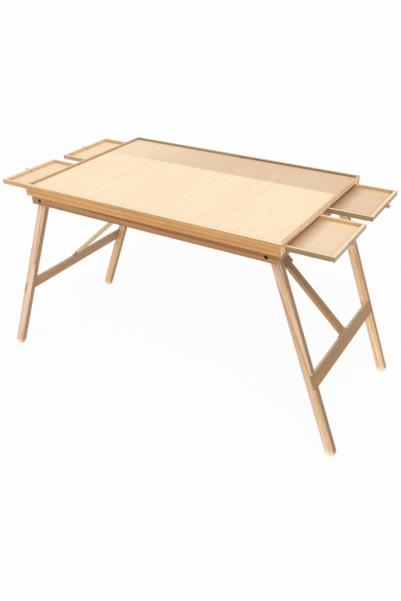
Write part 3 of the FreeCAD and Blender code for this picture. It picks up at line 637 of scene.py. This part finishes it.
# %% Ring pieces
def ring_points(rings, base, direction):
    """Rings of (radii, height) stacked along a direction from a base point, as rows of points."""
    radii = np.array([radius for radius, _ in rings])
    heights = np.array([height for _, height in rings])
    local = np.stack([
        radii * np.cos(turn_angles),
        radii * np.sin(turn_angles),
        np.broadcast_to(heights[:, None], radii.shape),
    ], axis=-1)
    turn = np.array(Vector((0, 0, 1)).rotation_difference(Vector(direction)).to_matrix())
    return local @ turn.T + np.array(base)


def ring_faces(rows, start, closed):
    """Quads between neighbouring rings of a stack that starts at a vertex. Its two ends get a flat face each,
    unless the stack is closed: then the last ring joins the first."""
    row, step = np.meshgrid(np.arange(rows if closed else rows - 1), np.arange(TURN_STEPS), indexing="ij")
    above = (row + 1) % rows
    after = (step + 1) % TURN_STEPS
    quads = np.stack([
        row * TURN_STEPS + step,
        row * TURN_STEPS + after,
        above * TURN_STEPS + after,
        above * TURN_STEPS + step,
    ], axis=-1)
    faces = (quads.reshape(-1, 4) + start).tolist()
    if closed:
        return faces
    ends = [np.arange(TURN_STEPS)[::-1], (rows - 1) * TURN_STEPS + np.arange(TURN_STEPS)]
    return faces + [(end + start).tolist() for end in ends]


def ring_piece(name, stacks, body, material, replaced, smooth=40, closed=False):
    """One piece made of several stacks of rings, riding on a body in place of a plain solid."""
    points = []
    faces = []
    start = 0
    for rings, base, direction in stacks:
        stack = ring_points(rings, base, direction)
        points.append(stack.reshape(-1, 3))
        faces += ring_faces(len(rings), start, closed)
        start += len(rings) * TURN_STEPS
    piece = new_piece(name, np.concatenate(points), faces, body, material, smooth)
    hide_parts(replaced)


print("steps round a turn:", TURN_STEPS)

# %% [markdown]
# ## Knobs
# Each drawer has a small mushroom knob, whose tenon fills a hole through the drawer front. Its outline is one
# smooth curve: a flared foot on the drawer front, a waist, and a rounded head. A cosine gives the waist and a
# quarter ellipse the crown, so nothing looks faceted.

# %% Knobs
KNOB_TONE, KNOB_RING = "#b59d80", 3.5 * MM
TENON_RADIUS = 3 * MM
# The head's radius as a share of the plain solid's, then the foot's and the waist's as shares of the head's.
HEAD_SHARE, FOOT_SHARE, WAIST_SHARE = 0.84, 0.8, 0.66
# Shares of the knob's reach from foot to waist, from waist to head, and over the crown.
STEM, SWELL, CROWN = 0.32, 0.28, 0.4
# The crown ends just short of the axis, so that its last ring still has an area.
CROWN_TURN = 0.97 * np.pi / 2


def knob_outline(reach, foot, waist, head):
    """Radii and heights of a knob: a cosine from foot to waist to head, then an elliptic crown."""
    rise = np.linspace(0, 1, 13)
    stem = waist + (foot - waist) * 0.5 * (1 + np.cos(np.pi * rise))
    swell = waist + (head - waist) * 0.5 * (1 - np.cos(np.pi * rise))
    arc = np.linspace(0, CROWN_TURN, 14)
    radii = np.concatenate([stem, swell[1:], head * np.cos(arc[1:])])
    shares = np.concatenate([rise * STEM, STEM + rise[1:] * SWELL, STEM + SWELL + CROWN * np.sin(arc[1:])])
    return radii, shares * reach


for drawer in drawers:
    low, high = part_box(f"{drawer}_knob")
    front_low, front_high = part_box(f"{drawer}_front")
    out = 1 if drawer.startswith("right") else -1
    seat = front_high.x if out > 0 else front_low.x
    tip = high.x if out > 0 else low.x
    centre = Vector((seat, (low.y + high.y) / 2, (low.z + high.z) / 2))
    head = (high.z - low.z) / 2 * HEAD_SHARE
    radii, heights = knob_outline(abs(tip - seat), head * FOOT_SHARE, head * WAIST_SHARE, head)
    tenon = [(round_ring(TENON_RADIUS), front_low.x - front_high.x), (round_ring(TENON_RADIUS), 0.0)]
    rings = tenon + [(round_ring(radius), height) for radius, height in zip(radii, heights)]
    wood = pine(f"turned_pine_{drawer}", centre, ALONG_X, KNOB_TONE, ring=KNOB_RING)
    ring_piece(
        f"{drawer}_turned_knob", [(rings, centre, (out, 0, 0))], drawer, wood,
        f"{drawer}_knob", smooth=60,
    )
print("knobs:", len(drawers), "each", round(2 * head / MM, 1), "mm across")

# %% [markdown]
# ## Steel
# The bolts, nuts, screws and pins are steel, plated with zinc and then blackened in a bath. The eye gets a
# dark metal with a soft, slightly cloudy sheen, a little browner where hands have rubbed it. The foot hinges
# of the stays are bent from sheet and lacquered a woody brown instead, so they stay quiet against the boards.
# A plain black would lose the edges.

# %% Steel
# The clouds in real plating are finer, and are drawn as wide as they need to be to show.
PLATING_CLOUD = 1.2 * MM
SHEEN_SPREAD = 0.08
# The ripple of sprayed lacquer, known as orange peel, is about this wide.
LACQUER_RIPPLE = 2 * MM


def blackened_zinc(name, dark, light, rough):
    """Blackened zinc: two dark tones in a fine cloud, metallic, with a sheen that follows the cloud."""
    material, tree = new_material(name)
    where = add(tree, "ShaderNodeTexCoord")
    cloud = add(
        tree, "ShaderNodeTexNoise", {"Vector": where.outputs["Object"]},
        {"Scale": 1 / PLATING_CLOUD, "Detail": 3.0},
    ).outputs["Fac"]
    tones = [(0.35, linear(dark)), (0.65, linear(light))]
    face = add(tree, "ShaderNodeValToRGB", {"Fac": cloud}, stops=tones)
    sheen = add(
        tree, "ShaderNodeMapRange", {"Value": cloud},
        {"From Min": 0.3, "From Max": 0.7, "To Min": rough - SHEEN_SPREAD, "To Max": rough + SHEEN_SPREAD},
    )
    metal = add(
        tree, "ShaderNodeBsdfPrincipled",
        {"Base Color": face.outputs["Color"], "Roughness": sheen.outputs["Result"]}, {"Metallic": 1.0},
    )
    add(tree, "ShaderNodeOutputMaterial", {"Surface": metal.outputs["BSDF"]})
    return material


def brown_lacquer(name, dark, light):
    """Brown lacquer on bent sheet steel: a smooth film with a faint orange-peel ripple."""
    material, tree = new_material(name)
    where = add(tree, "ShaderNodeTexCoord")
    ripple = add(
        tree, "ShaderNodeTexNoise", {"Vector": where.outputs["Object"]},
        {"Scale": 1 / LACQUER_RIPPLE, "Detail": 1.0},
    ).outputs["Fac"]
    tones = [(0.35, linear(dark)), (0.65, linear(light))]
    face = add(tree, "ShaderNodeValToRGB", {"Fac": ripple}, stops=tones)
    rise = add(tree, "ShaderNodeBump", {"Height": ripple}, {"Strength": 0.15, "Distance": 0.05 * MM})
    film = add(
        tree, "ShaderNodeBsdfPrincipled",
        {"Base Color": face.outputs["Color"], "Normal": rise.outputs["Normal"]},
        {"Roughness": 0.4, "IOR": 1.5},
    )
    add(tree, "ShaderNodeOutputMaterial", {"Surface": film.outputs["BSDF"]})
    return material


zinc = blackened_zinc("blackened_zinc", "#35302b", "#574e46", 0.42)
hinge_lacquer = brown_lacquer("brown_lacquered_steel", "#a3805a", "#b08d66")
for side in ("left", "right"):
    dress(f"{side}_foot_hinge", hinge_lacquer)
dress("left_pivot_washers", zinc)
dress("right_pivot_sleeves", zinc)
print("hardware finishes:", zinc.name, hinge_lacquer.name)

# %% [markdown]
# ## Leg pivots
# Each leg turns on a bolt whose round head is sunk in the apron, with a hexagon nut on the inside of the leg.
# The bolt is one stack of rings, from the end of its shank up to the head's rim and down to the floor of its
# hexagon socket. The nut's rings run round its section and close on themselves, so its bore is open.

# %% Leg pivots
BOLT_RADIUS, HEAD_RADIUS, HEAD_HEIGHT = 3 * MM, 5 * MM, 5 * MM
SOCKET, SOCKET_DEPTH = 2.5 * MM, 3 * MM
# The socket's mouth is this much wider, and narrows over this depth.
LIP, LIP_DEPTH = 0.2 * MM, 0.3 * MM
NUT_FLAT, NUT_HEIGHT, NUT_BORE = 5 * MM, 5 * MM, 3.03 * MM
# A nut's corners are turned off to this radius on both faces.
NUT_CORNER = 5.3 * MM
EDGE_BREAK = 0.5 * MM
# A nut stands this far off the leg, so that the leg can turn.
RUNNING_GAP = 0.3 * MM


def socket_bolt(length):
    """Rings of a bolt: eased shank end, shank, underside and rim of the head, then down a hexagon socket."""
    under = length - HEAD_HEIGHT
    return [
        (round_ring(BOLT_RADIUS - EDGE_BREAK), 0.0),
        (round_ring(BOLT_RADIUS), EDGE_BREAK),
        (round_ring(BOLT_RADIUS), under),
        (round_ring(HEAD_RADIUS), under),
        (round_ring(HEAD_RADIUS), length - 2 * EDGE_BREAK),
        (round_ring(HEAD_RADIUS - 2 * EDGE_BREAK), length),
        (hexagon_ring(SOCKET + LIP), length),
        (hexagon_ring(SOCKET), length - LIP_DEPTH),
        (hexagon_ring(SOCKET), length - SOCKET_DEPTH),
    ]


def hexagon_nut():
    """Rings round a nut's section: lower face, six flats with turned-off corners, upper face, bore."""
    flats = hexagon_ring(NUT_FLAT)
    turned_off = np.minimum(flats, NUT_CORNER)
    return [
        (round_ring(NUT_BORE), 0.0),
        (turned_off, 0.0),
        (flats, EDGE_BREAK),
        (flats, NUT_HEIGHT - EDGE_BREAK),
        (turned_off, NUT_HEIGHT),
        (round_ring(NUT_BORE), NUT_HEIGHT),
    ]


bolts, nuts = [], []
head_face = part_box("pivot_bolts")[1].y
for side in ("left", "right"):
    pivot = Vector(joints[f"{side}_leg_fold"]["pos_m"])
    nut_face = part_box(f"{side}_back_leg")[0].y - RUNNING_GAP
    for way in (-1, 1):
        shank_end = pivot + Vector((0, way * (nut_face - NUT_HEIGHT), 0))
        bolts.append((socket_bolt(head_face - nut_face + NUT_HEIGHT), shank_end, (0, way, 0)))
        nuts.append((hexagon_nut(), shank_end, (0, way, 0)))
ring_piece("socket_bolts", bolts, "table_top", zinc, "pivot_bolts")
ring_piece("hexagon_nuts", nuts, "table_top", zinc, "pivot_nuts", closed=True)
print("pivot bolts:", len(bolts), "nuts:", len(nuts))

# %% [markdown]
# ## Wood screws
# Countersunk screws hold the apron from below and the stretchers to the legs, two at each leg. A cone widens
# the shank to the head, whose flat face lies flush with the wood, and a tapering cross is sunk into it.

# %% Wood screws
SHANK_RADIUS, FACE_RADIUS, CONE = 2 * MM, 4 * MM, 2.5 * MM
POINT_RADIUS, FACE_BREAK = 0.2 * MM, 0.1 * MM
# Arm and half width of the cross at the face and at its floor.
RECESS_TOP, RECESS_FLOOR, RECESS_DEPTH = (2.3 * MM, 0.6 * MM), (1.6 * MM, 0.4 * MM), 1.7 * MM
# A stretcher screw's length, half the stretcher's thickness, and how far a screw sits from its middle line.
STRETCHER_SCREW, STRETCHER_HALF, SCREW_STEP = 20 * MM, 4 * MM, 12 * MM
# The open legs lean outward by this angle.
SPLAY = math.radians(20)


def cross_screw(length):
    """Rings of a screw: a point, a shank, a cone out to the head's face, and a tapering cross recess."""
    return [
        (round_ring(POINT_RADIUS), 0.0),
        (round_ring(SHANK_RADIUS), SHANK_RADIUS),
        (round_ring(SHANK_RADIUS), length - CONE),
        (round_ring(FACE_RADIUS), length - FACE_BREAK),
        (round_ring(FACE_RADIUS - FACE_BREAK), length),
        (cross_ring(*RECESS_TOP), length),
        (cross_ring(*RECESS_FLOOR), length - RECESS_DEPTH),
    ]


low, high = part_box("apron_screws")
far_x, far_y = high.x - FACE_RADIUS, high.y - FACE_RADIUS
apron_stacks = [
    (cross_screw(high.z - low.z), Vector((x, y, high.z)), (0, 0, -1))
    for x in (-far_x, 0, far_x) for y in (-far_y, far_y)
]
ring_piece("cross_screws_apron", apron_stacks, "table_top", zinc, "apron_screws")
for side, sign in (("left", -1), ("right", 1)):
    outward = Vector((sign * math.cos(SPLAY), 0, math.sin(SPLAY)))
    down = Vector((sign * math.sin(SPLAY), 0, -math.cos(SPLAY)))
    tip = middle(f"{side}_stretcher") + outward * (STRETCHER_HALF - STRETCHER_SCREW)
    screws = f"{side}_stretcher_screws"
    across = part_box(screws)[1].y - FACE_RADIUS
    stacks = [
        (cross_screw(STRETCHER_SCREW), tip + down * step * SCREW_STEP + Vector((0, way * across, 0)), outward)
        for step in (-1, 1) for way in (-1, 1)
    ]
    ring_piece(f"{side}_cross_screws_stretcher", stacks, f"{side}_leg_frame", zinc, screws)
print("screws in the apron:", len(apron_stacks), "and in each stretcher:", len(stacks))

# %% [markdown]
# ## Stay pins
# The slats of a stay turn on pins with low domed heads, a pair at the knee and a pair under the tray.
# The dome is a quarter of an ellipse, turned about the pin.

# %% Stay pins
PIN_RADIUS, DOME_RADIUS, DOME_HEIGHT, DOME_RIM = 2.5 * MM, 4.5 * MM, 2.5 * MM, 0.7 * MM
KNEE_LENGTH, ANCHOR_LENGTH = 15 * MM, 27 * MM
# The dome ends just short of the axis, so that its last ring still has an area.
DOME_TURN = 0.96 * np.pi / 2


def domed_pin(length):
    """Rings of a pin: a shank, the head's short rim, and a crown that falls off as a quarter ellipse."""
    under = length - DOME_HEIGHT
    arc = np.linspace(0, DOME_TURN, 9)
    crown = zip(DOME_RADIUS * np.cos(arc), under + DOME_RIM + (DOME_HEIGHT - DOME_RIM) * np.sin(arc))
    return [
        (round_ring(PIN_RADIUS), 0.0),
        (round_ring(PIN_RADIUS), under),
        (round_ring(DOME_RADIUS), under),
        *((round_ring(radius), height) for radius, height in crown),
    ]


pins = 0
for side in ("left", "right"):
    knee = (f"{side}_knee_screws", f"{side}_upper_stay", KNEE_LENGTH)
    anchor = (f"{side}_anchor_pin", "table_top", ANCHOR_LENGTH)
    for node, body, length in (knee, anchor):
        centre = middle(node)
        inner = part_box(node)[1].y - length
        stacks = [(domed_pin(length), centre + Vector((0, way * inner, 0)), (0, way, 0)) for way in (-1, 1)]
        ring_piece(f"{node}_domed", stacks, body, zinc, node)
        pins += len(stacks)
print("domed pins:", pins)

# %% [markdown]
# ## Light
# The table stands in a bright room: a broad soft lamp from the front right, over an even sky. The lamp is a
# sun with a wide disc, so that the floor is as bright far away as it is under the table. An area lamp would
# give the same soft shadow, but the floor would darken with distance. The camera and shiny surfaces see a
# white sky, while a weaker one lights the wood, so that pale boards don't wash out.

# %% Light
SKY_STRENGTH = 0.57
LAMP_STRENGTH = 2.3
LAMP_FROM = Vector((0.3, -0.75, 0.62))
LAMP_DISC = math.radians(60)
WHITE = (1, 1, 1, 1)


def bright_to_eye(tree):
    """1 for rays from the camera, a shiny surface or glass, 0 for the light that falls on the object."""
    ray = add(tree, "ShaderNodeLightPath").outputs
    eye = add(
        tree, "ShaderNodeMath", {0: ray["Is Camera Ray"], 1: ray["Is Glossy Ray"]}, operation="MAXIMUM",
    )
    either = add(
        tree, "ShaderNodeMath", {0: eye.outputs[0], 1: ray["Is Transmission Ray"]}, operation="MAXIMUM",
    )
    return either.outputs[0]


scene = bpy.context.scene
scene.view_settings.view_transform = "Standard"
world = bpy.data.worlds.new("even_sky")
scene.world = world
world.use_nodes = True
sky = world.node_tree
sky.nodes.clear()
seen = add(sky, "ShaderNodeBackground", values={"Color": WHITE, "Strength": 1.0})
lit = add(sky, "ShaderNodeBackground", values={"Color": WHITE, "Strength": SKY_STRENGTH})
both = add(sky, "ShaderNodeMixShader", {"Fac": bright_to_eye(sky), 1: lit.outputs[0], 2: seen.outputs[0]})
add(sky, "ShaderNodeOutputWorld", {"Surface": both.outputs[0]})

lamp = bpy.data.lights.new("broad_lamp", "SUN")
lamp.energy = LAMP_STRENGTH
lamp.angle = LAMP_DISC
lamp_object = bpy.data.objects.new("broad_lamp", lamp)
lamp_object.rotation_euler = LAMP_FROM.to_track_quat("Z", "Y").to_euler()
scene.collection.objects.link(lamp_object)
print("lamp from", tuple(round(value, 2) for value in LAMP_FROM))

# %% [markdown]
# ## Floor
# The floor is plain and pale. To the camera most of it glows white, and the rest stays matte, so that the
# table's soft shadow still shows. A shadow catcher would need a second picture to be laid under the first.

# %% Floor
FLOOR_HALF = 40.0
FLOOR_TONE, FLOOR_GLOW = "#e7e7e7", 0.93
floor_mesh = bpy.data.meshes.new("floor")
corners = np.array([(-1, -1, 0), (1, -1, 0), (1, 1, 0), (-1, 1, 0)]) * FLOOR_HALF
floor_mesh.from_pydata(corners.tolist(), [], [(0, 1, 2, 3)])
floor = bpy.data.objects.new("floor", floor_mesh)
scene.collection.objects.link(floor)
floor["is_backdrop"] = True
floor_paint, floor_tree = new_material("pale_floor")
matte = add(floor_tree, "ShaderNodeBsdfDiffuse", values={"Color": linear(FLOOR_TONE)})
glow = add(floor_tree, "ShaderNodeEmission", values={"Color": WHITE, "Strength": 1.0})
eye = bright_to_eye(floor_tree)
share = add(floor_tree, "ShaderNodeMath", {0: eye}, {1: FLOOR_GLOW}, operation="MULTIPLY").outputs[0]
mixed = add(floor_tree, "ShaderNodeMixShader", {"Fac": share, 1: matte.outputs[0], 2: glow.outputs[0]})
add(floor_tree, "ShaderNodeOutputMaterial", {"Surface": mixed.outputs[0]})
floor_mesh.materials.append(floor_paint)
print("floor, in metres across:", 2 * FLOOR_HALF)

# %% [markdown]
# ## Camera
# The camera stands where the picture was taken from, to the right of the table's middle and above it. Its
# place, turn and focal length were worked out from the table's corners and feet, so they are given as they
# came out. Blender's lens is in millimetres on a sensor as wide as the picture's longer side, so the focal
# length in pixels is divided by that side and multiplied by the sensor.

# %% Camera
CAMERA_AT = Vector((1.0083, -1.6459, 1.3452))
CAMERA_AZIMUTH = math.radians(31.04)
CAMERA_ELEVATION = math.radians(30.18)
CAMERA_ROLL = math.radians(-0.31)
FOCAL_PIXELS = 647.0
PICTURE_HEIGHT = 601
SENSOR = 36.0
camera = bpy.data.cameras.new("camera")
camera.sensor_width = SENSOR
camera.lens = FOCAL_PIXELS / PICTURE_HEIGHT * SENSOR
camera_object = bpy.data.objects.new("camera", camera)
back = Vector((
    math.sin(CAMERA_AZIMUTH) * math.cos(CAMERA_ELEVATION),
    -math.cos(CAMERA_AZIMUTH) * math.cos(CAMERA_ELEVATION),
    math.sin(CAMERA_ELEVATION),
))
camera_object.location = CAMERA_AT
level = (-back).to_track_quat("-Z", "Y")
camera_object.rotation_euler = (level @ Quaternion((0, 0, 1), CAMERA_ROLL)).to_euler()
scene.collection.objects.link(camera_object)
scene.camera = camera_object
print("lens in millimetres:", round(camera.lens, 2))

# %% [markdown]
# ## Sizes and finish
# The finished looks must not make the table larger than its solids. So the box of the solids, kept from the
# start, is set against the box of everything that shows now, and how far the top corner grew is printed.

# %% Sizes and finish
visual_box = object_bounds()
grown = [round((now - before) / MM, 2) for before, now in zip(cad_box[1], visual_box[1])]
print("top corner grown by, in mm:", grown)
